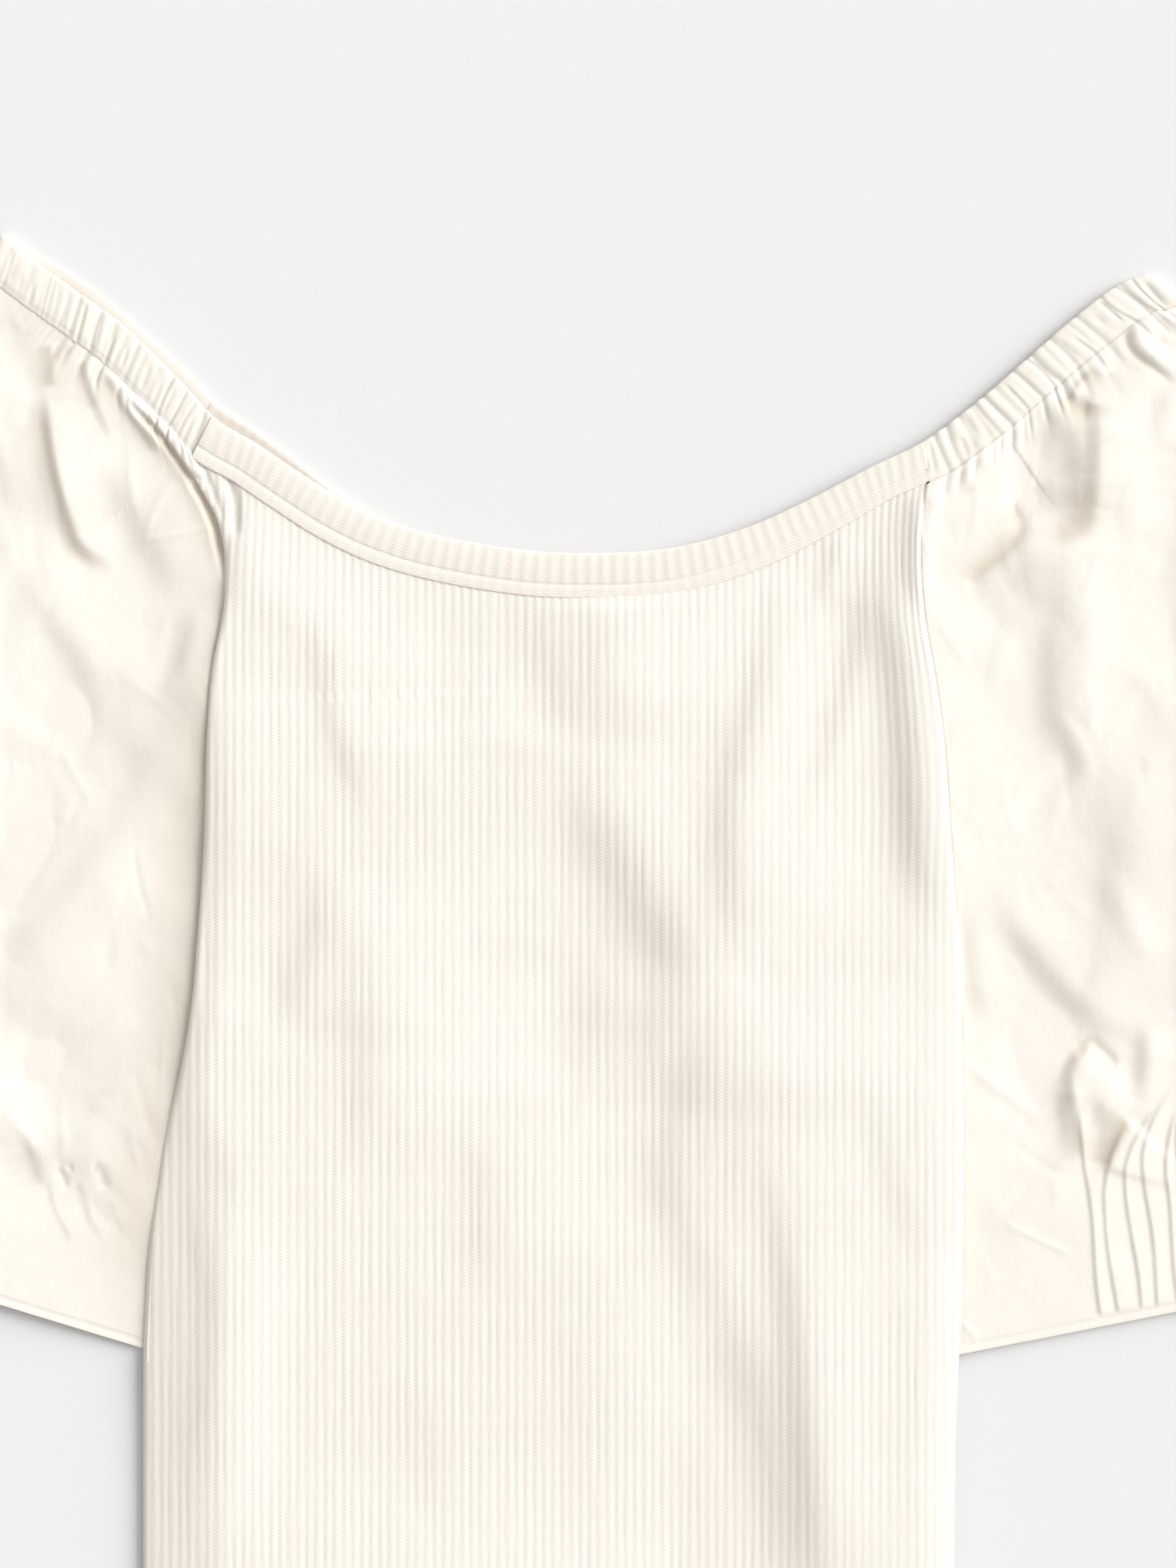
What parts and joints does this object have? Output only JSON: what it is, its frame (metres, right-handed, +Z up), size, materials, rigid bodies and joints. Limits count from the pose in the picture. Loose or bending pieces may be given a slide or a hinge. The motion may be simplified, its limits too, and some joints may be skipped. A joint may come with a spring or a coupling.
{
  "type": "off-shoulder blouse",
  "caption": "Off-shoulder blouse laid flat: rib-knit bodice with a bound neckline, woven puff sleeves with a gathered elastic casing along the top and a tucked cuff.",
  "frame": {"origin": "centre of the bounding box on the surface that the blouse lies on, which is on the back panel's underside", "axes": "+X to the right of the blouse as it is seen from above, +Y from its hem towards its neckline, +Z up from the surface, out of the front panel"},
  "size_m": [0.6933, 0.6029, 0.0225],
  "materials": {
    "rib_knit": "matt cream rib knit",
    "rib_band": "matt cream rib binding",
    "poplin": "cream woven cotton with a faint sheen"
  },
  "bodies": {
    "root": {"body_front": "rib_knit", "body_back": "rib_knit", "neckband_front": "rib_band", "neckband_back": "rib_band", "sleeve_left": "poplin", "sleeve_right": "poplin", "casing_left": "poplin", "casing_right": "poplin"}
  },
  "joints": []
}
